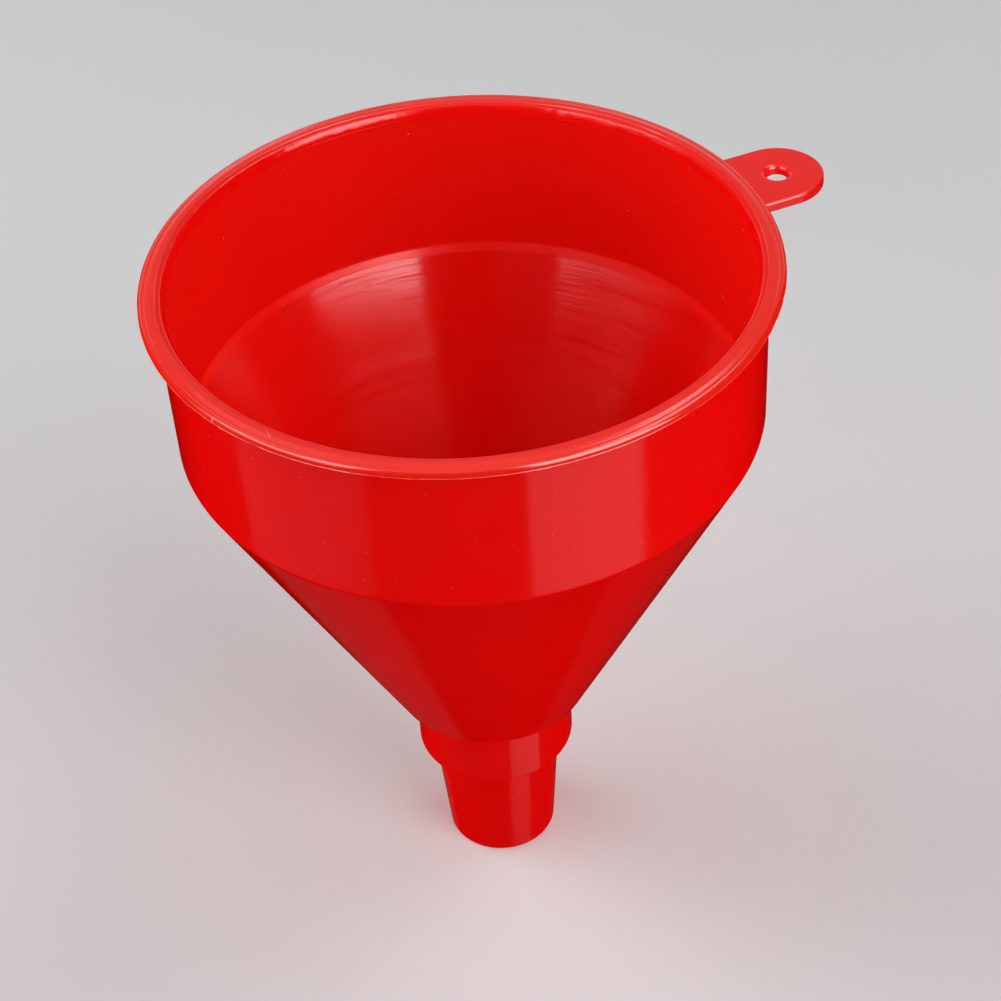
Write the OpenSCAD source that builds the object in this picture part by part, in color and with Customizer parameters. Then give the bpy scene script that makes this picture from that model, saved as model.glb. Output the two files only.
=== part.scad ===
// Hand-held pouring funnel for fuel and fluids, moulded in one piece of plastic.
// Each zone of the moulding is a node of its own, and neighbours meet face to face.
// Origin: centre of the spout's outlet. +Z runs up the funnel's axis, +X to the hang tab.

/* [Mouth] */
// outside diameter of the rim's flange
rim_d = 130; // [129.5:0.5:140]
// height from the spout's outlet to the top of the rim
funnel_h = 162.8; // [158:0.2:175]
// thickness of the rim's flange
flange_t = 1.4; // [1.2:0.1:1.8]
// radius of the flange's rounded outer edge
flange_round_r = 1.1; // [0.5:0.05:1.2]
// inside diameter at the top of the mouth
mouth_d = 121; // [120.4:0.1:122]
// depth of the slope just inside the mouth
mouth_slope_h = 2.4; // [1.8:0.1:3]
// height of the low ridge that runs round the top of the rim
ridge_h = 0.2; // [0.1:0.05:0.3]
// width of that ridge at its foot
ridge_w = 2.1; // [1.6:0.1:2.2]
// diameter of the circle the middle of the ridge runs on
ridge_d = 124.7; // [124.6:0.1:125]
// width over which the ridge falls away on its outer side
ridge_fall_w = 0.8; // [0.4:0.1:1]

/* [Bowl] */
// outside diameter of the bowl's wall under the flange
bowl_top_d = 123.8; // [123:0.1:123.9]
// outside diameter of the bowl's wall where the cone begins
bowl_low_d = 123.2; // [122.4:0.1:123.4]
// height of the crease between the bowl's wall and the cone
crease_z = 127; // [120:0.5:135]
// how far the foot of the mouth's slope stands in from the bowl's wall
slope_lip = 0.2; // [0.1:0.05:0.3]

/* [Cone] */
// outside diameter of the cone's lower end, taken to a sharp corner
cone_low_d = 44.1; // [42:0.1:46]
// height of that corner above the outlet
cone_low_z = 46.9; // [45.5:0.1:50]
// thickness of the cone's wall
cone_t = 1.9; // [1.6:0.05:2.2]
// radius of the rounded edge at the cone's lower end
shoulder_round_r = 1.5; // [0.8:0.1:2]

/* [Neck] */
// outside diameter of the collar below the cone
collar_d = 35.8; // [35:0.1:37]
// height of the collar's lower edge above the outlet
collar_low_z = 29.7; // [27:0.1:32]
// thickness of the collar's wall
collar_t = 1.8; // [1.5:0.05:2.2]
// radius of the collar's rounded lower edge
collar_round_r = 0.5; // [0.3:0.05:0.8]
// height the shoulder drops between the cone and the collar
shoulder_drop = 1; // [0.6:0.1:1.4]

/* [Spout] */
// outside diameter of the spout under the collar
spout_top_d = 29.5; // [28.5:0.1:30.5]
// outside diameter of the spout at its outlet
spout_tip_d = 24.8; // [24:0.1:25.6]
// inside diameter of the spout's outlet
outlet_d = 21.6; // [21:0.1:22]
// length of the straight stretch of bore just inside the outlet
outlet_land_h = 5; // [3:0.5:8]
// thickness of the spout's wall under the collar
spout_t = 1.7; // [1.4:0.05:2]
// radius of the rounded edge of the spout's tip
tip_round_r = 0.4; // [0.2:0.05:0.6]

/* [Hang tab] */
// width of the hang tab
tab_w = 19.5; // [17:0.5:24]
// distance from the funnel's axis to the centre of the tab's hole
tab_hole_x = 71.6; // [70:0.1:74]
// diameter of the hole in the tab
tab_hole_d = 4.6; // [4:0.1:6]
// thickness of the tab
tab_t = 2; // [1.7:0.1:2.4]
// distance the tab's top lies below the top of the flange
tab_drop = 0.2; // [0.1:0.05:0.4]
// radius of the rounded edge round the tab and round its hole
tab_round_r = 0.5; // [0.3:0.05:0.6]

/* [Hidden] */
$fn = 96;
over = 1;
rim_r = rim_d / 2;
mouth_r = mouth_d / 2;
bowl_top_r = bowl_top_d / 2;
bowl_low_r = bowl_low_d / 2;
slope_low_z = funnel_h - mouth_slope_h;
flange_low_z = funnel_h - flange_t;
bowl_draft = (bowl_top_r - bowl_low_r) / (flange_low_z - crease_z);
cone_low_r = cone_low_d / 2;
cone_slope = (bowl_low_r - cone_low_r) / (crease_z - cone_low_z);
cone_half_angle = atan(cone_slope);
cone_in_shift = cone_t / cos(cone_half_angle);
cone_foot_z = cone_low_z + 3;
bowl_in_low_r = bowl_low_r - cone_in_shift;
bowl_in_top_r = bowl_in_low_r + bowl_draft * (slope_low_z - crease_z);
collar_r = collar_d / 2;
collar_in_r = collar_r - collar_t;
collar_top_z = cone_low_z - shoulder_drop;
ledge_top_z = collar_low_z + collar_t;
shoulder_floor_z = cone_low_z + collar_t;
spout_top_r = spout_top_d / 2;
spout_tip_r = spout_tip_d / 2;
spout_in_top_r = spout_top_r - spout_t;
outlet_r = outlet_d / 2;
ridge_r = ridge_d / 2;
tab_r = tab_w / 2;
tab_hole_r = tab_hole_d / 2;
tab_top_z = funnel_h - tab_drop;
tab_low_z = tab_top_z - tab_t;
plastic = [0.85, 0.03, 0.02];

// outside and inside radius of the cone's wall at a height
function cone_r(z) = cone_low_r + cone_slope * (z - cone_low_z);
function cone_in_r(z) = cone_r(z) - cone_in_shift;

// a section in the X-Z half plane, turned once round the funnel's axis
module turned() {
    rotate_extrude() children();
}

// what a quarter round takes off a section's outward corner at [r, z], on its low side
module low_round_cut(r, z, size) {
    difference() {
        translate([r - size, z - over]) square([size + over, size + over]);
        translate([r - size, z + size]) circle(r = size);
    }
}

// the same on the high side
module high_round_cut(r, z, size) {
    difference() {
        translate([r - size, z - size]) square([size + over, size + over]);
        translate([r - size, z - size]) circle(r = size);
    }
}

// the same on the high side of a hole's edge
module hole_round_cut(r, z, size) {
    difference() {
        translate([r - over, z - size]) square([size + over, size + over]);
        translate([r + size, z - size]) circle(r = size);
    }
}

// tapered spout, its bore straight just inside the outlet and then opening upwards
module spout() {
    color(plastic) turned() difference() {
        polygon([[outlet_r, 0], [spout_tip_r, 0], [spout_top_r, collar_low_z],
                 [spout_in_top_r, collar_low_z], [outlet_r, outlet_land_h]]);
        low_round_cut(spout_tip_r, 0, tip_round_r);
    }
}

// level ring that steps the spout out to the collar
module spout_ledge() {
    color(plastic) turned() difference() {
        translate([spout_in_top_r, collar_low_z])
            square([collar_r - spout_in_top_r, collar_t]);
        low_round_cut(collar_r, collar_low_z, collar_round_r);
    }
}

// straight collar, a short tube between the spout and the cone
module neck_collar() {
    color(plastic) turned()
        translate([collar_in_r, ledge_top_z]) square([collar_t, collar_top_z - ledge_top_z]);
}

// shoulder that carries the cone's rounded lower end in to the collar
module neck_shoulder() {
    round_back = shoulder_round_r * tan((90 - cone_half_angle) / 2);
    round_x = cone_low_r - round_back;
    round_z = cone_low_z + shoulder_round_r;
    touch_x = round_x + shoulder_round_r * cos(cone_half_angle);
    touch_z = round_z - shoulder_round_r * sin(cone_half_angle);
    color(plastic) turned() union() {
        polygon([[collar_in_r, collar_top_z], [collar_r, collar_top_z],
                 [collar_r, cone_low_z], [round_x, cone_low_z], [round_x, round_z],
                 [touch_x, touch_z], [cone_r(cone_foot_z), cone_foot_z],
                 [cone_in_r(cone_foot_z), cone_foot_z],
                 [cone_in_r(shoulder_floor_z), shoulder_floor_z],
                 [collar_in_r, shoulder_floor_z - shoulder_drop]]);
        intersection() {
            translate([round_x, round_z]) circle(r = shoulder_round_r);
            translate([round_x, cone_low_z]) square([2 * shoulder_round_r, shoulder_round_r]);
        }
    }
}

// the cone itself, one even wall from the shoulder up to the crease
module cone() {
    color(plastic) turned()
        polygon([[cone_in_r(cone_foot_z), cone_foot_z], [cone_r(cone_foot_z), cone_foot_z],
                 [bowl_low_r, crease_z], [bowl_in_low_r, crease_z]]);
}

// upright wall of the bowl, drawn in slightly towards the cone
module bowl_wall() {
    slope_low_r = bowl_low_r + bowl_draft * (slope_low_z - crease_z);
    color(plastic) turned()
        polygon([[bowl_in_low_r, crease_z], [bowl_low_r, crease_z],
                 [slope_low_r, slope_low_z], [bowl_in_top_r, slope_low_z]]);
}

// top of the wall, opened out to the mouth by a short slope that ends in a fine lip
module mouth_slope() {
    slope_low_r = bowl_low_r + bowl_draft * (slope_low_z - crease_z);
    color(plastic) turned()
        polygon([[bowl_in_top_r - slope_lip, slope_low_z], [slope_low_r, slope_low_z],
                 [bowl_top_r, flange_low_z], [bowl_top_r, funnel_h], [mouth_r, funnel_h]]);
}

// thin flange round the mouth, its outer edge rounded on top and sharp below
module rim_flange() {
    color(plastic) turned() difference() {
        translate([bowl_top_r, flange_low_z]) square([rim_r - bowl_top_r, flange_t]);
        high_round_cut(rim_r, funnel_h, flange_round_r);
    }
}

// low ridge on top of the rim, steep on its inner side and falling gently outwards
module rim_ridge() {
    ridge_in_r = ridge_r - ridge_w / 2;
    ridge_out_r = ridge_r + ridge_w / 2;
    color(plastic) turned()
        polygon([[ridge_in_r, funnel_h], [ridge_out_r, funnel_h],
                 [ridge_out_r - ridge_fall_w, funnel_h + ridge_h],
                 [ridge_in_r + ridge_h, funnel_h + ridge_h]]);
}

// outline of the tab in plan, from the wall of the bowl out past the hole
module tab_plan(half_w) {
    translate([bowl_top_r - over, -half_w])
        square([tab_hole_x - bowl_top_r + over, 2 * half_w]);
    translate([tab_hole_x, 0]) circle(r = half_w);
}

// straight rounded edge along one side of the tab
module tab_side_round() {
    translate([bowl_top_r - over, tab_r - tab_round_r, tab_top_z - tab_round_r])
        rotate([0, 90, 0])
            cylinder(r = tab_round_r, h = tab_hole_x - bowl_top_r + over);
}

// flat tongue with a round hole to hang the funnel by
module hang_tab() {
    color(plastic) difference() {
        union() {
            translate([0, 0, tab_low_z])
                linear_extrude(tab_t - tab_round_r) tab_plan(tab_r);
            translate([0, 0, tab_low_z])
                linear_extrude(tab_t) tab_plan(tab_r - tab_round_r);
            tab_side_round();
            mirror([0, 1, 0]) tab_side_round();
            translate([tab_hole_x, 0, tab_top_z - tab_round_r]) rotate_extrude()
                translate([tab_r - tab_round_r, 0]) circle(r = tab_round_r);
        }
        translate([tab_hole_x, 0, tab_low_z - over])
            cylinder(r = tab_hole_r, h = tab_t + 2 * over);
        translate([tab_hole_x, 0, 0]) rotate_extrude()
            hole_round_cut(tab_hole_r, tab_top_z, tab_round_r);
        translate([0, 0, tab_low_z - over])
            cylinder(r = bowl_top_r, h = tab_t + 2 * over);
        turned() difference() {
            translate([bowl_top_r - over, flange_low_z])
                square([rim_r - bowl_top_r + over, flange_t]);
            high_round_cut(rim_r, funnel_h, flange_round_r);
        }
    }
}

spout();
spout_ledge();
neck_collar();
neck_shoulder();
cone();
bowl_wall();
mouth_slope();
rim_flange();
rim_ridge();
hang_tab();
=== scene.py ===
# %% [markdown]
# # A one-piece plastic funnel
# The real thing is a single injection moulding: molten red plastic is forced between two
# steel moulds, and everything on it is turned about one axis, apart from the tongue it
# hangs by. So nearly every piece below is a short section spun round the Z axis, which is
# how a lathe cut the moulds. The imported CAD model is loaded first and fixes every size.

import math

import bmesh
import bpy
from mathutils import Matrix, Vector
from mathutils.noise import noise as noise_at


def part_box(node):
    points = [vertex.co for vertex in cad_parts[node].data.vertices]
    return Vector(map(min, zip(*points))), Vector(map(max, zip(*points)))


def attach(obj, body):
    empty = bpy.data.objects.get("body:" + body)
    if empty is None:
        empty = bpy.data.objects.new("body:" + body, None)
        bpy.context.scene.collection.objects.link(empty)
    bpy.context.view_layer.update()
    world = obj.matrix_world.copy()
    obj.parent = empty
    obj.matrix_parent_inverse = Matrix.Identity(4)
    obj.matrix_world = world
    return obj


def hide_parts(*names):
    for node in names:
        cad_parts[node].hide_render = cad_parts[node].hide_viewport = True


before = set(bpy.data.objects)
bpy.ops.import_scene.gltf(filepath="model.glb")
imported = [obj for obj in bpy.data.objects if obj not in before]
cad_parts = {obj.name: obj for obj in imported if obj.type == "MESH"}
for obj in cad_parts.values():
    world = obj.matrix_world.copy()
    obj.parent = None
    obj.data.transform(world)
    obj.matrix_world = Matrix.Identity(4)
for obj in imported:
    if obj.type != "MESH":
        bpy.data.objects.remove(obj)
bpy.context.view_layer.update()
MM = 0.001

# %% [markdown]
# ## Sizes
# The main section corners are the CAD model's own, in millimetres. Heights that the packed
# nodes give are read from their boxes, so that the pieces land on the frame by themselves.
# Radii are written out, because a box round a faceted ring falls a hair short of them.

# %% Heights from the frame


def low_z(node):
    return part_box(node)[0][2] / MM


def high_z(node):
    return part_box(node)[1][2] / MM


LEDGE_LOW, LEDGE_TOP = low_z("spout_ledge"), high_z("spout_ledge")
COLLAR_TOP = high_z("neck_collar")
CONE_FOOT, CREASE = high_z("neck_shoulder"), low_z("bowl_wall")
SLOPE_LOW, RIM_TOP = low_z("mouth_slope"), high_z("rim_flange")
FLANGE_LOW, RIDGE_TOP = low_z("rim_flange"), high_z("rim_ridge")
print("crease at", round(CREASE, 1), "mm and rim's top at", round(RIM_TOP, 1), "mm")

# %% Radii
RIM_R, WALL_TOP_R, WALL_LOW_R = 65.0, 61.9, 61.6
MOUTH_R, WALL_IN_TOP_R, SLOPE_LIP = 60.5, 59.77, 0.2
COLLAR_R, COLLAR_IN_R = 17.9, 16.1
SPOUT_TOP_R, SPOUT_TIP_R, SPOUT_IN_TOP_R, OUTLET_R = 14.75, 12.4, 13.05, 10.8
OUTLET_LAND = 5.0
print("widest", 2 * RIM_R, "mm, narrowest", 2 * OUTLET_R, "mm")

# %% The cone's lean
SHOULDER_STEP, CONE_WALL = 1.0, 1.9
CONE_CORNER_R, CONE_CORNER_Z = 22.05, COLLAR_TOP + SHOULDER_STEP
CONE_SLOPE = (WALL_LOW_R - CONE_CORNER_R) / (CREASE - CONE_CORNER_Z)
CONE_TILT = math.atan(CONE_SLOPE)
CONE_IN_SHIFT = CONE_WALL / math.cos(CONE_TILT)
WALL_IN_LOW_R = WALL_LOW_R - CONE_IN_SHIFT


def cone_r(z):
    return CONE_CORNER_R + CONE_SLOPE * (z - CONE_CORNER_Z)


def cone_in_r(z):
    return cone_r(z) - CONE_IN_SHIFT


print("cone leans", round(math.degrees(CONE_TILT), 1), "degrees from the axis")

# %% [markdown]
# ## Camera
# It stands above and to one side, and looks down into the mouth with a long lens, which
# keeps the sides of the bowl nearly parallel. It was held slightly turned, so the rim
# rises to the right. The three turns are kept apart here, because that is how a real
# camera is set up on its tripod: heading, dip and tilt.

# %% Camera
CAM_HEADING, CAM_DIP, CAM_TILT = math.radians(-20.74), math.radians(40.76), math.radians(4.0)
CAM_PLACE = Vector((-0.1367, -0.3743, 0.4431))
cam_data = bpy.data.cameras.new("camera")
cam_data.lens = 86.97
cam_data.sensor_width = 36.0
cam_data.clip_start = 0.01
camera = bpy.data.objects.new("camera", cam_data)
bpy.context.scene.collection.objects.link(camera)
camera.matrix_world = (
    Matrix.Translation(CAM_PLACE)
    @ Matrix.Rotation(CAM_HEADING, 4, "Z")
    @ Matrix.Rotation(math.pi / 2 - CAM_DIP, 4, "X")
    @ Matrix.Rotation(-CAM_TILT, 4, "Z")
)
bpy.context.scene.camera = camera
print("camera is", round(CAM_PLACE.length, 3), "m from the outlet")

# %% [markdown]
# ## Turned pieces
# A section is a handful of corners in the X-Z half plane. Making it a face first lets the
# bevel operator round any corner, as the moulds' edges are rounded; then the face goes, its
# outline is spun once round the axis, and the spin's two ends are merged. Edges that turn
# sharply are marked sharp, so each skin shades smoothly but does not smear over a corner.

# %% Helpers for turned pieces
STEPS_ROUND, STEPS_IN_A_CORNER = 240, 5
SHARP_ANGLE = math.radians(32)
DOUBLES = 1e-7


def mark_sharp(bm):
    for face in bm.faces:
        face.smooth = True
    for edge in bm.edges:
        sharp = len(edge.link_faces) != 2 or edge.calc_face_angle() > SHARP_ANGLE
        edge.smooth = not sharp


def to_object(bm, name, materials):
    mesh = bpy.data.meshes.new(name)
    bm.to_mesh(mesh)
    bm.free()
    for material in materials:
        mesh.materials.append(material)
    obj = bpy.data.objects.new(name, mesh)
    bpy.context.scene.collection.objects.link(obj)
    even = obj.modifiers.new("even normals", "WEIGHTED_NORMAL")
    even.keep_sharp = True
    return obj


def section_outline(bm, corners):
    """corners are (radius, height, rounding) in mm; the rounding is 0 for a sharp corner"""
    points = [bm.verts.new((r * MM, 0, z * MM)) for r, z, _ in corners]
    bm.faces.new(points)
    for point, (_, _, size) in zip(points, corners):
        if size:
            bmesh.ops.bevel(
                bm, geom=[point], offset=size * MM, affect="VERTICES",
                segments=STEPS_IN_A_CORNER, profile=0.5, material=-1,
            )
    bmesh.ops.delete(bm, geom=bm.faces[:], context="FACES_ONLY")


def spun(corners, steps):
    bm = bmesh.new()
    section_outline(bm, corners)
    bmesh.ops.spin(
        bm, geom=bm.verts[:] + bm.edges[:], cent=(0, 0, 0), axis=(0, 0, 1),
        angle=math.tau, steps=steps, use_merge=True,
    )
    bmesh.ops.remove_doubles(bm, verts=bm.verts[:], dist=DOUBLES)
    bmesh.ops.recalc_face_normals(bm, faces=bm.faces[:])
    return bm


def turned(name, corners, materials, inside_slot=0):
    """faces that look towards the axis get the material in inside_slot"""
    bm = spun(corners, STEPS_ROUND)
    for face in bm.faces:
        middle = face.calc_center_median()
        outward = Vector((middle.x, middle.y, 0)).dot(face.normal) > 0
        face.material_index = 0 if outward else inside_slot
    mark_sharp(bm)
    open_edges = sum(len(e.link_faces) != 2 for e in bm.edges)
    print(name, len(bm.faces), "faces,", open_edges, "open edges")
    return to_object(bm, name, materials)


def stand_for(obj, node):
    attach(obj, "root")
    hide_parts(node)


# %% [markdown]
# ## The plastic
# Glossy moulded polypropylene: a deep, clean red under a clear skin. Three things keep it
# from looking like paint. The colour drifts slightly where the melt cooled unevenly, the
# skin has a faint orange peel that ripples every reflection, and handling leaves short
# scuffs and specks of dust. Each is a noise read in Object coordinates, so it sits still
# on the piece. The inside of the cone also keeps the fine rings of the turned mould, so
# its noise is squeezed along Z until it becomes rings, and each highlight on it is drawn
# out down the cone, across the rings, as it is on brushed metal. The slope inside the mouth
# is polished only along its top, down to a ragged line.

# %% Helpers for materials


def new_material(name):
    material = bpy.data.materials.new(name)
    material.use_nodes = True
    tree = material.node_tree
    return material, tree, tree.nodes["Principled BSDF"]


def node(tree, kind, **settings):
    made = tree.nodes.new(kind)
    for key, value in settings.items():
        setattr(made, key, value)
    return made


def stretched(tree, scale, turn=(0, 0, 0)):
    place = node(tree, "ShaderNodeTexCoord")
    mapping = node(tree, "ShaderNodeMapping")
    mapping.inputs["Scale"].default_value = scale
    mapping.inputs["Rotation"].default_value = turn
    tree.links.new(place.outputs["Object"], mapping.inputs["Vector"])
    return mapping.outputs["Vector"]


def noise(tree, vector, scale, detail=2.0, roughness=0.5):
    made = node(tree, "ShaderNodeTexNoise")
    made.inputs["Scale"].default_value = scale
    made.inputs["Detail"].default_value = detail
    made.inputs["Roughness"].default_value = roughness
    tree.links.new(vector, made.inputs["Vector"])
    return made.outputs["Fac"]


def spread(tree, value, low, high, out_low=0.0, out_high=1.0):
    made = node(tree, "ShaderNodeMapRange")
    made.inputs["From Min"].default_value = low
    made.inputs["From Max"].default_value = high
    made.inputs["To Min"].default_value = out_low
    made.inputs["To Max"].default_value = out_high
    tree.links.new(value, made.inputs["Value"])
    return made.outputs["Result"]


def maths(tree, operation, a, b):
    made = node(tree, "ShaderNodeMath", operation=operation)
    for socket, value in zip(made.inputs, (a, b)):
        if hasattr(value, "links"):
            tree.links.new(value, socket)
        else:
            socket.default_value = value
    return made.outputs[0]


def mixed(tree, amount, first, second):
    made = node(tree, "ShaderNodeMix", data_type="RGBA")
    tree.links.new(amount, made.inputs["Factor"])
    for socket, value in ((made.inputs["A"], first), (made.inputs["B"], second)):
        if hasattr(value, "links"):
            tree.links.new(value, socket)
        else:
            socket.default_value = (*value, 1.0)
    return made.outputs["Result"]


def bumped(tree, height, distance, strength, under=None):
    made = node(tree, "ShaderNodeBump")
    made.inputs["Strength"].default_value = strength
    made.inputs["Distance"].default_value = distance
    tree.links.new(height, made.inputs["Height"])
    if under:
        tree.links.new(under, made.inputs["Normal"])
    return made.outputs["Normal"]


# %% Marks that handling leaves


def some_cells(tree, place, scale, edge, core, channel, share):
    """the middles of a share of a Voronoi pattern's cells, picked by one channel's colour"""
    cells = node(tree, "ShaderNodeTexVoronoi")
    cells.inputs["Scale"].default_value = scale
    tree.links.new(place, cells.inputs["Vector"])
    near = spread(tree, cells.outputs["Distance"], edge, core)
    parts = node(tree, "ShaderNodeSeparateColor")
    tree.links.new(cells.outputs["Color"], parts.inputs["Color"])
    chosen = maths(tree, "GREATER_THAN", parts.outputs[channel], 1.0 - share)
    return maths(tree, "MULTIPLY", near, chosen)


def specks(tree, scale, size, share):
    """round specks of dust"""
    return some_cells(tree, stretched(tree, (1, 1, 1)), scale, size, size * 0.4, "Red", share)


def strokes(tree, long_scale, thin_scale, turn, share):
    """short scuffs: the same cells, pulled out into slivers"""
    place = stretched(tree, (thin_scale, long_scale, thin_scale), turn)
    return some_cells(tree, place, 1.0, 0.16, 0.05, "Green", share)


def marks_of_use(tree, dust, scuffs):
    dusty = maths(
        tree, "MAXIMUM", specks(tree, scale=170.0, size=0.05, share=0.1),
        specks(tree, scale=60.0, size=0.035, share=0.08),
    )
    scuffed = maths(
        tree, "MAXIMUM", strokes(tree, 75.0, 900.0, turn=(0.3, 0.5, 0.9), share=0.05),
        strokes(tree, 60.0, 800.0, turn=(1.2, 0.2, 2.2), share=0.05),
    )
    return maths(
        tree, "MAXIMUM", maths(tree, "MULTIPLY", dusty, dust),
        maths(tree, "MULTIPLY", scuffed, scuffs),
    )


# %% Rings and polish that the mould leaves
FINE_RELIEF = 0.03 * MM
RING_GRAIN, WORN_GRAIN = (34.0, 34.0, 2600.0), (30.0, 30.0, 420.0)


def down_the_cone(tree, skin, amount):
    """draws highlights out at right angles to the rings"""
    place = node(tree, "ShaderNodeTexCoord")
    round_axis = node(tree, "ShaderNodeVectorMath", operation="CROSS_PRODUCT")
    round_axis.inputs[0].default_value = (0, 0, 1)
    tree.links.new(place.outputs["Object"], round_axis.inputs[1])
    tree.links.new(round_axis.outputs["Vector"], skin.inputs["Tangent"])
    skin.inputs["Anisotropic"].default_value = amount
    skin.inputs["Anisotropic Rotation"].default_value = 0.25


def height_of(tree, place):
    parts = node(tree, "ShaderNodeSeparateXYZ")
    tree.links.new(place, parts.inputs[0])
    return parts.outputs["Z"]


def with_rings(tree, skin, whole, depth, rough, normal):
    """rings bend the light, break it up and draw it out; the cone's top is polished most"""
    ring_lines = noise(tree, stretched(tree, RING_GRAIN), 1.0, 3.0, 0.7)
    broken = spread(tree, ring_lines, 0.36, 0.62, 0.15, 0.75)
    polished = spread(tree, height_of(tree, whole), 0.113, 0.126, 0.55, 1.5)
    tree.links.new(
        maths(tree, "MULTIPLY", broken, polished), skin.inputs["Specular IOR Level"],
    )
    worn = noise(tree, stretched(tree, WORN_GRAIN), 1.0, 2.0)
    rough = maths(tree, "ADD", rough, spread(tree, worn, 0.3, 0.7, -0.008, 0.014))
    down_the_cone(tree, skin, 0.98)
    return rough, bumped(tree, ring_lines, FINE_RELIEF, depth, normal)


def polish_above(tree, skin, whole, height):
    """shiny above a ragged line at this height in mm, dull below it"""
    wander, half_blend = 0.6 * MM, 0.08 * MM
    ragged = spread(tree, noise(tree, whole, 330.0, 3.0, 0.6), 0.3, 0.7, -wander, wander)
    above = maths(tree, "SUBTRACT", height_of(tree, whole), height * MM - half_blend)
    line = spread(tree, maths(tree, "ADD", above, ragged), 0.0, 2 * half_blend, 0.05, 0.3)
    tree.links.new(line, skin.inputs["Specular IOR Level"])


# %% The red plastic
RED, DEEP_RED = (0.90, 0.0016, 0.0010), (0.84, 0.0008, 0.0005)
DUST = (0.92, 0.34, 0.30)


def red_plastic(
    name, gloss, peel, rings=0.0, dust=0.5, scuffs=0.5, red=RED, deep=DEEP_RED,
    waves=150.0, wave_depth=0.05, smudges=0.07, polished_down_to=None,
):
    material, tree, skin = new_material(name)
    link = tree.links.new
    whole = stretched(tree, (1, 1, 1))
    drift = spread(tree, noise(tree, whole, 14.0, 2.0), 0.3, 0.7)
    marks = marks_of_use(tree, dust, scuffs)
    link(mixed(tree, marks, mixed(tree, drift, red, deep), DUST), skin.inputs["Base Color"])
    smudge = noise(tree, whole, 55.0, 4.0, 0.6)
    rough = spread(tree, smudge, 0.35, 0.75, gloss, gloss + smudges)
    normal = bumped(tree, noise(tree, whole, waves, 1.0), wave_depth * MM, peel)
    if rings:
        rough, normal = with_rings(tree, skin, whole, rings, rough, normal)
    if polished_down_to:
        polish_above(tree, skin, whole, polished_down_to)
    link(maths(tree, "ADD", rough, maths(tree, "MULTIPLY", marks, 0.3)), skin.inputs["Roughness"])
    link(bumped(tree, marks, FINE_RELIEF, 0.4, normal), skin.inputs["Normal"])
    skin.inputs["IOR"].default_value = 1.5
    return material


# %% One variant for each part of the moulding; the inside ones are a darker red, as painted shade
RIM_RED, DEEP_RIM_RED = (0.86, 0.016, 0.0050), (0.81, 0.011, 0.0035)
POLISHED_DEPTH = 1.1
gloss_red = red_plastic("gloss red", gloss=0.09, peel=0.25, dust=0.35, scuffs=0.35)
neck_red = red_plastic(
    "neck red", gloss=0.09, peel=0.25, dust=0.3, scuffs=0.3,
    red=(0.80, 0.0014, 0.0009), deep=(0.75, 0.0007, 0.0005),
)
# painted shade: the inside of the bore, ledge, collar and bowl is a darker red than the outside, for
# the shade inside the funnel
inner_red_painted_shade = red_plastic(
    "inner red painted shade", gloss=0.2, peel=0.3, dust=0.45, scuffs=0.2,
    red=(0.85, 0.0070, 0.0026), deep=(0.81, 0.0042, 0.0018),
)
# painted shade: the inside of the cone is darker red again, for the shade deep in the funnel; its
# rings are real
ringed_red_painted_shade = red_plastic(
    "ringed red painted shade", gloss=0.14, peel=0.2, rings=0.8, dust=0.25, scuffs=0.0, smudges=0.03,
    red=(0.79, 0.0045, 0.0018), deep=(0.74, 0.0026, 0.0011),
)
rim_red = red_plastic(
    "rim red", gloss=0.12, peel=0.4, dust=0.5, scuffs=0.35, red=RIM_RED, deep=DEEP_RIM_RED,
)
tab_red = red_plastic(
    "tab red", gloss=0.16, peel=0.5, dust=0.4, scuffs=0.3,
    red=(0.85, 0.006, 0.0030), deep=(0.80, 0.004, 0.0020),
)
slope_red = red_plastic(
    "slope red", gloss=0.12, peel=1.0, dust=0.4, scuffs=0.2, waves=260.0, wave_depth=0.22,
    polished_down_to=RIM_TOP - POLISHED_DEPTH,
    red=(0.84, 0.0040, 0.0020), deep=(0.80, 0.0022, 0.0012),
)
print("red variants:", sum("red" in m.name for m in bpy.data.materials))

# %% [markdown]
# ## Spout, ledge and collar
# The spout tapers so that it leaves the mould and wedges in any neck. A level ledge steps
# it out to the collar, a short straight tube. All three are sections with two or three
# rounded corners. The last millimetres of the bore are straight.

# %% Spout, ledge and collar
spout = turned(
    "spout",
    [
        (OUTLET_R, 0, 0.3), (SPOUT_TIP_R, 0, 0.4), (SPOUT_TOP_R, LEDGE_LOW, 0),
        (SPOUT_IN_TOP_R, LEDGE_LOW, 0), (OUTLET_R, OUTLET_LAND, 0),
    ],
    [neck_red, inner_red_painted_shade], 1,
)
stand_for(spout, "spout")
spout_ledge = turned(
    "spout_ledge",
    [
        (SPOUT_IN_TOP_R, LEDGE_LOW, 0), (COLLAR_R, LEDGE_LOW, 0.55), (COLLAR_R, LEDGE_TOP, 0),
        (COLLAR_IN_R, LEDGE_TOP, 0), (SPOUT_IN_TOP_R, LEDGE_TOP, 0.5),
    ],
    [neck_red, inner_red_painted_shade], 1,
)
stand_for(spout_ledge, "spout_ledge")
neck_collar = turned(
    "neck_collar",
    [
        (COLLAR_IN_R, LEDGE_TOP, 0), (COLLAR_R, LEDGE_TOP, 0),
        (COLLAR_R, COLLAR_TOP, 0), (COLLAR_IN_R, COLLAR_TOP, 0),
    ],
    [neck_red, inner_red_painted_shade], 1,
)
stand_for(neck_collar, "neck_collar")

# %% [markdown]
# ## Shoulder, cone and bowl
# The cone ends in a rounded edge that overhangs the collar, and a shoulder carries it in.
# Above the cone the wall turns nearly upright at a crease, crisp outside and inside. The
# crease belongs to the wall's piece, so the joint between the two pieces falls on straight
# cone, where it can't be seen.

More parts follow.
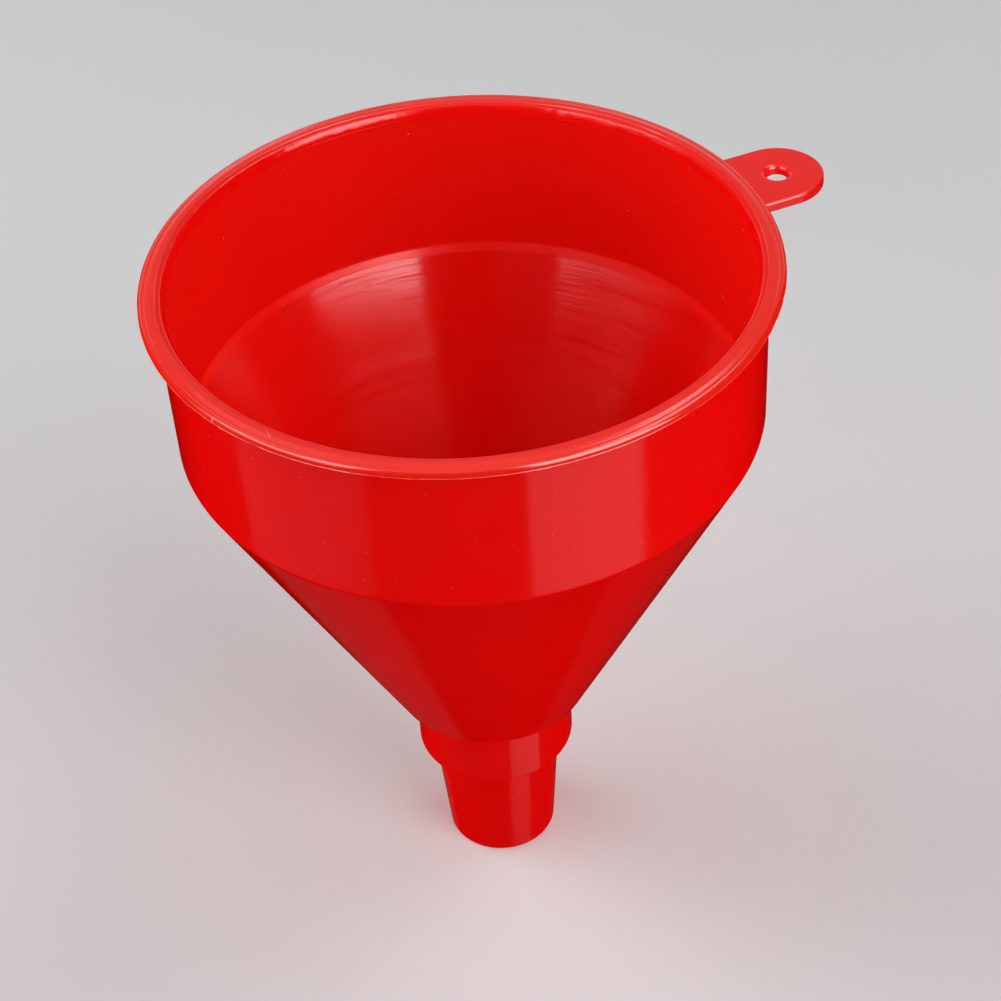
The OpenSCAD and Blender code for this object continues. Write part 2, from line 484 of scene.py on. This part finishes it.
# %% Shoulder, cone and bowl
SEAM_BELOW_CREASE = 2.0
SEAM = CREASE - SEAM_BELOW_CREASE
COLLAR_WALL = COLLAR_R - COLLAR_IN_R
FLOOR_Z = CONE_CORNER_Z + COLLAR_WALL
neck_shoulder = turned(
    "neck_shoulder",
    [
        (COLLAR_IN_R, COLLAR_TOP, 0), (COLLAR_R, COLLAR_TOP, 0), (COLLAR_R, CONE_CORNER_Z, 0),
        (CONE_CORNER_R, CONE_CORNER_Z, 1.0), (cone_r(CONE_FOOT), CONE_FOOT, 0),
        (cone_in_r(CONE_FOOT), CONE_FOOT, 0), (cone_in_r(FLOOR_Z), FLOOR_Z, 0.6),
        (COLLAR_IN_R, FLOOR_Z - SHOULDER_STEP, 0.4),
    ],
    [gloss_red, ringed_red_painted_shade], 1,
)
stand_for(neck_shoulder, "neck_shoulder")
cone = turned(
    "cone",
    [
        (cone_in_r(CONE_FOOT), CONE_FOOT, 0), (cone_r(CONE_FOOT), CONE_FOOT, 0),
        (cone_r(SEAM), SEAM, 0), (cone_in_r(SEAM), SEAM, 0),
    ],
    [gloss_red, ringed_red_painted_shade], 1,
)
stand_for(cone, "cone")
bowl_wall = turned(
    "bowl_wall",
    [
        (cone_in_r(SEAM), SEAM, 0), (cone_r(SEAM), SEAM, 0), (WALL_LOW_R, CREASE, 0.5),
        (WALL_TOP_R, SLOPE_LOW, 0), (WALL_IN_TOP_R, SLOPE_LOW, 0), (WALL_IN_LOW_R, CREASE, 0.4),
    ],
    [gloss_red, inner_red_painted_shade], 1,
)
stand_for(bowl_wall, "bowl_wall")

# %% [markdown]
# ## Rim
# The mouth opens out by a short slope that ends in a fine lip. The slope bulges a little,
# so only its upper part catches the light. Outside it a thin flange stiffens the
# rim, rounded above and sharp below, where the two halves of the mould met. A low broad
# ridge runs round the top, with a fine groove at its outer foot.

# %% Slope inside the mouth
RIDGE_IN_R, RIDGE_OUT_R = 61.3, 63.4
MOUTH_FALL, BULGE_R, BULGE_DROP = 0.13, 59.95, 0.95
LIP_R, LIP_H, FILLET_R, FILLET_H = WALL_IN_TOP_R - SLOPE_LIP, 0.17, 59.66, 0.35
mouth_slope = turned(
    "mouth_slope",
    [
        (LIP_R, SLOPE_LOW, 0.05), (WALL_TOP_R, SLOPE_LOW, 0), (WALL_TOP_R, RIM_TOP, 0),
        (RIDGE_IN_R, RIM_TOP, 0), (MOUTH_R, RIM_TOP - MOUTH_FALL, 0.3),
        (BULGE_R, RIM_TOP - BULGE_DROP, 0.65), (FILLET_R, SLOPE_LOW + FILLET_H, 0.1),
        (LIP_R, SLOPE_LOW + LIP_H, 0.05),
    ],
    [rim_red, slope_red], 1,
)
stand_for(mouth_slope, "mouth_slope")

# %% Flange with its groove
RIM_ROUND = 1.1
GROOVE_R, GROOVE_HALF_W, GROOVE_DEPTH = 63.6, 0.15, 0.1
rim_flange = turned(
    "rim_flange",
    [
        (WALL_TOP_R, FLANGE_LOW, 0), (RIM_R, FLANGE_LOW, 0.1), (RIM_R, RIM_TOP, RIM_ROUND),
        (GROOVE_R + GROOVE_HALF_W, RIM_TOP, 0.0), (GROOVE_R, RIM_TOP - GROOVE_DEPTH, 0.03),
        (GROOVE_R - GROOVE_HALF_W, RIM_TOP, 0.04), (WALL_TOP_R, RIM_TOP, 0),
    ],
    [rim_red],
)
stand_for(rim_flange, "rim_flange")

# %% Ridge
RIDGE_FALL_W, RIDGE_RISE_W = 0.8, 0.2
rim_ridge = turned(
    "rim_ridge",
    [
        (RIDGE_IN_R, RIM_TOP, 0), (RIDGE_OUT_R, RIM_TOP, 0),
        (RIDGE_OUT_R - RIDGE_FALL_W, RIDGE_TOP, 0.25),
        (RIDGE_IN_R + RIDGE_RISE_W, RIDGE_TOP, 0.08),
    ],
    [rim_red],
)
stand_for(rim_ridge, "rim_ridge")

# %% [markdown]
# ## Flash and gate
# Two flaws give a moulding away. Where the halves of the mould met, a trace of plastic
# crept out and stayed as a thin ragged fin under the rim's outer edge. And where the melt
# came in, a pale nick was left when the runner was broken off. The fin is a small
# three-cornered section spun like the rest, and then its thin edge is moved in and out, up
# and down, by a fixed noise. The nick is a flattened ball, half sunk in the rim.

# %% Flash
FLASH_STEPS, FLASH_ROOT_R, FLASH_H, FLASH_SINK = 720, RIM_R - 0.06, 0.2, 0.02
FLASH_REACH, FLASH_LEAST, FLASH_RAGGED = 0.07, 0.01, 0.16
FLASH_EDGE_Z, FLASH_DROOP, OTHER_NOISE = FLANGE_LOW + 0.05, 0.06, Vector((0, 0, 5))
# painted highlight: the fin is real, but its pale pink stands in for the thin light line along the
# rim's lower edge
flash_red_painted_highlight = red_plastic(
    "flash red painted highlight", gloss=0.22, peel=0.6, dust=0.6, scuffs=0.0,
    red=(0.93, 0.10, 0.080), deep=(0.90, 0.04, 0.030),
)


def ragged_edge(place):
    way = Vector((place.x, place.y, 0)).normalized()
    ragged = 0.5 * noise_at(way * 7) + 0.5 * noise_at(way * 45) + 0.4 * noise_at(way * 140)
    reach = max(FLASH_LEAST, FLASH_REACH + FLASH_RAGGED * ragged)
    droop = FLASH_DROOP * noise_at(way * 30 + OTHER_NOISE)
    return (way * (RIM_R + reach) + Vector((0, 0, FLASH_EDGE_Z + droop))) * MM


def make_flash():
    bm = spun(
        [
            (FLASH_ROOT_R, FLANGE_LOW + FLASH_H, 0), (RIM_R + FLASH_REACH, FLASH_EDGE_Z, 0),
            (FLASH_ROOT_R, FLANGE_LOW - FLASH_SINK, 0),
        ],
        FLASH_STEPS,
    )
    for vert in bm.verts:
        if vert.co.xy.length > RIM_R * MM:
            vert.co = ragged_edge(vert.co)
    mark_sharp(bm)
    open_edges = sum(len(e.link_faces) != 2 for e in bm.edges)
    print("rim_flash", len(bm.faces), "faces,", open_edges, "open edges")
    return to_object(bm, "rim_flash", [flash_red_painted_highlight])


# %% Gate mark
GATE_TURN, GATE_R, GATE_Z = math.radians(-158.4), RIM_R - 0.1, RIM_TOP - 0.75
GATE_SIZE = (0.12, 0.22, 0.6)
broken_red = red_plastic(
    "broken red", gloss=0.4, peel=0.6, dust=0.6, scuffs=0.0,
    red=(0.95, 0.34, 0.31), deep=(0.93, 0.24, 0.22),
)


def make_gate():
    bm = bmesh.new()
    bmesh.ops.create_icosphere(bm, subdivisions=3, radius=MM)
    bmesh.ops.scale(bm, verts=bm.verts[:], vec=GATE_SIZE)
    place = Matrix.Translation((GATE_R * MM, 0, GATE_Z * MM))
    bm.transform(Matrix.Rotation(GATE_TURN, 4, "Z") @ place)
    bmesh.ops.recalc_face_normals(bm, faces=bm.faces[:])
    mark_sharp(bm)
    print("gate_mark", len(bm.faces), "faces")
    return to_object(bm, "gate_mark", [broken_red])


for flaw in (make_flash(), make_gate()):
    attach(flaw, "root")

# %% [markdown]
# ## Hang tab
# A flat tongue with a round end and a round hole, its edges softened. A circle cut in half
# gives the round end, and its two loose points are drawn out to the root. The root's edge
# is then bent to the bowl's own curve, so the tongue grows out of the wall under the rim.
# The hole is a second circle, and a fill between the two makes the plate.

# %% Hang tab
TAB_HALF_W, TAB_HOLE_X, TAB_HOLE_R = 9.75, 71.6, 2.3
TAB_TOP, TAB_LOW = high_z("hang_tab"), low_z("hang_tab")
TAB_EDGE_ROUND, TAB_HOLE_ROUND = 0.6, 1.15
END_STEPS, HOLE_STEPS, ROOT_STEPS = 96, 64, 24
NEAR_HOLE = 1.7 * TAB_HOLE_R
SLACK = 0.001


def tab_outline(bm):
    centre = Matrix.Translation((TAB_HOLE_X * MM, 0, TAB_LOW * MM))
    bmesh.ops.create_circle(bm, segments=END_STEPS, radius=TAB_HALF_W * MM, matrix=centre)
    bmesh.ops.bisect_plane(
        bm, geom=bm.verts[:] + bm.edges[:], dist=1e-6, plane_co=centre.translation,
        plane_no=(1, 0, 0), clear_inner=True,
    )
    ends = [v for v in bm.verts if len(v.link_edges) == 1]
    drawn = bmesh.ops.extrude_vert_indiv(bm, verts=ends)["verts"]
    for vert in drawn:
        vert.co.x = WALL_TOP_R * MM
    root = bm.edges.new(drawn)
    bmesh.ops.subdivide_edges(bm, edges=[root], cuts=ROOT_STEPS - 1)
    for vert in bm.verts:
        if abs(vert.co.x - WALL_TOP_R * MM) < DOUBLES:
            vert.co.x = math.sqrt((WALL_TOP_R * MM) ** 2 - vert.co.y ** 2)
    bmesh.ops.create_circle(bm, segments=HOLE_STEPS, radius=TAB_HOLE_R * MM, matrix=centre)


def near_hole(edge):
    return (edge.verts[0].co.xy - Vector((TAB_HOLE_X * MM, 0))).length < NEAR_HOLE * MM


def in_root(edge):
    return max(v.co.xy.length for v in edge.verts) < (WALL_TOP_R + SLACK) * MM


def on_top_rim(edge):
    level = all(abs(v.co.z - TAB_TOP * MM) < DOUBLES for v in edge.verts)
    clear_of_wall = min(v.co.xy.length for v in edge.verts) > (WALL_TOP_R - SLACK) * MM
    corner = edge.calc_face_angle(0) > SHARP_ANGLE
    return level and clear_of_wall and corner and not in_root(edge)


def make_hang_tab():
    bm = bmesh.new()
    tab_outline(bm)
    bmesh.ops.triangle_fill(bm, use_beauty=True, edges=bm.edges[:])
    raised = bmesh.ops.extrude_face_region(bm, geom=bm.faces[:])
    upper = [g for g in raised["geom"] if isinstance(g, bmesh.types.BMVert)]
    bmesh.ops.translate(bm, verts=upper, vec=(0, 0, (TAB_TOP - TAB_LOW) * MM))
    bmesh.ops.recalc_face_normals(bm, faces=bm.faces[:])
    for size, in_hole in ((TAB_HOLE_ROUND, True), (TAB_EDGE_ROUND, False)):
        bmesh.ops.bevel(
            bm, geom=[e for e in bm.edges if on_top_rim(e) and near_hole(e) == in_hole],
            offset=size * MM, offset_type="OFFSET", affect="EDGES", segments=6, profile=0.5,
            material=-1,
        )
    bmesh.ops.recalc_face_normals(bm, faces=bm.faces[:])
    mark_sharp(bm)
    open_edges = sum(len(e.link_faces) != 2 for e in bm.edges)
    print("hang_tab", len(bm.faces), "faces,", open_edges, "open edges")
    return to_object(bm, "hang_tab", [tab_red])


hang_tab = make_hang_tab()
stand_for(hang_tab, "hang_tab")

# %% [markdown]
# ## Floor and light
# A pale matt floor and two tall softboxes, the right one bright and crisp, the left one
# dim and broad, both brighter towards the top. On shiny plastic the lights are seen as
# much as felt, so the two jobs are kept apart: area lights do the lighting and hide from
# reflections, and flat glowing cards are there only for the plastic to mirror. A polished
# table would send some light back up at the cone, so both kinds are repeated below the
# floor, which casts no shadow for that reason.

# %% Floor and world
FLOOR_HALF_WIDTH = 1.2
floor_material, floor_tree, floor_skin = new_material("pale floor")
floor_noise = noise(floor_tree, stretched(floor_tree, (1, 1, 1)), 6.0, 3.0)
floor_tree.links.new(
    mixed(floor_tree, floor_noise, (0.60, 0.60, 0.61), (0.64, 0.64, 0.65)),
    floor_skin.inputs["Base Color"],
)
floor_skin.inputs["Roughness"].default_value = 0.9
bm = bmesh.new()
bmesh.ops.create_grid(bm, x_segments=1, y_segments=1, size=FLOOR_HALF_WIDTH)
floor = to_object(bm, "floor", [floor_material])
floor.modifiers.clear()
floor.visible_glossy = False
floor.visible_shadow = False
world = bpy.data.worlds.new("studio")
bpy.context.scene.world = world
world.use_nodes = True
world.node_tree.nodes["Background"].inputs["Color"].default_value = (0.60, 0.60, 0.61, 1)
world.node_tree.nodes["Background"].inputs["Strength"].default_value = 1.0
world.cycles_visibility.glossy = False
world.cycles_visibility.diffuse = False
bpy.context.scene.view_settings.view_transform = "Standard"

# %% Cards to be mirrored
CAM_SIDE = math.radians(-110.05)


def around(right_of_camera, elevation=0.0):
    side, rise = CAM_SIDE + math.radians(right_of_camera), math.radians(elevation)
    return Vector((math.cos(side) * math.cos(rise), math.sin(side) * math.cos(rise), math.sin(rise)))


def glowing(name, fade):
    """fade is (low height, high height, strength at the low one, strength at the high one)"""
    material = bpy.data.materials.new(name)
    material.use_nodes = True
    tree = material.node_tree
    tree.nodes.clear()
    lamp = node(tree, "ShaderNodeEmission")
    height = height_of(tree, stretched(tree, (1, 1, 1)))
    tree.links.new(spread(tree, height, *fade), lamp.inputs["Strength"])
    out = node(tree, "ShaderNodeOutputMaterial")
    tree.links.new(lamp.outputs[0], out.inputs["Surface"])
    return material


def card(name, right_of_camera, half_spread, low, high, fade, distance=0.9, rise=0.0):
    back = around(right_of_camera, rise)
    width = 2 * distance * math.tan(math.radians(half_spread))
    bm = bmesh.new()
    bmesh.ops.create_grid(bm, x_segments=1, y_segments=1, size=0.5)
    bmesh.ops.scale(bm, verts=bm.verts[:], vec=(width, high - low, 1))
    bm.transform(
        Matrix.Translation(back * distance + Vector((0, 0, (low + high) / 2)))
        @ back.to_track_quat("Z", "Y").to_matrix().to_4x4()
    )
    made = to_object(bm, name, [glowing(name, fade)])
    made.modifiers.clear()
    made.visible_camera = False
    made.visible_diffuse = False
    made.visible_shadow = False


# %% Cards above the floor and below it
card("right softbox", 41, 23, 0.19, 2.6, (0.28, 0.45, 3.0, 10.0))
card("left softbox", -70, 28, 0.19, 2.2, (0.4, 0.8, 0.6, 7.0))
card("right softbox in the table", 41, 23, -1.55, -0.19, (-1.55, -0.19, 0.073, 0.70))
card("left softbox in the table", -70, 28, -1.55, -0.19, (-0.9, -0.67, 0.0, 0.12))
card("wall behind", 180, 50, 0.25, 1.5, (0.3, 0.7, 1.0, 0.37))
card("bright patch on that wall", 182, 5.5, 0.98, 1.4, (0, 1, 0.9, 0.9), distance=0.88)
card("ceiling", 0, 25, -0.42, 0.42, (0, 2, 0.8, 0.8), rise=90)
card("light over the right shoulder", 95, 24, -0.12, 0.12, (0, 2, 4.5, 4.5), rise=66)
card("light over the left shoulder", -118, 24, -0.12, 0.12, (0, 2, 1.0, 1.0), rise=62)
card("left part of the room", -152, 14, -0.2, 0.2, (-2, 0, 0.028, 0.028), rise=-60)
card("right part of the room", 150, 14, -0.2, 0.2, (-2, 0, 0.010, 0.010), rise=-56)

# %% Lights to be felt
AIM = Vector((0, 0, 0.12))


def area_light(name, right_of_camera, elevation, power, distance=1.2, size=0.8):
    data = bpy.data.lights.new(name, "AREA")
    data.shape = "SQUARE"
    data.size = size
    data.energy = power
    light = bpy.data.objects.new(name, data)
    bpy.context.scene.collection.objects.link(light)
    back = around(right_of_camera, elevation)
    light.location = AIM + back * distance
    light.rotation_euler = back.to_track_quat("Z", "Y").to_euler()
    light.visible_glossy = False
    light.visible_camera = False


for name, side, rise, power in (
    ("key low", 45, 22, 7.0), ("key high", 45, 55, 3.0),
    ("fill side", -115, 22, 6.3), ("fill front", -75, 22, 4.4), ("fill high", -100, 55, 3.3),
    ("back", 112, 50, 4.7), ("front", -35, 22, 2.0),
    ("under left", -120, -40, 5.8), ("under right", 120, -40, 8.3),
):
    area_light(name, side, rise, power)
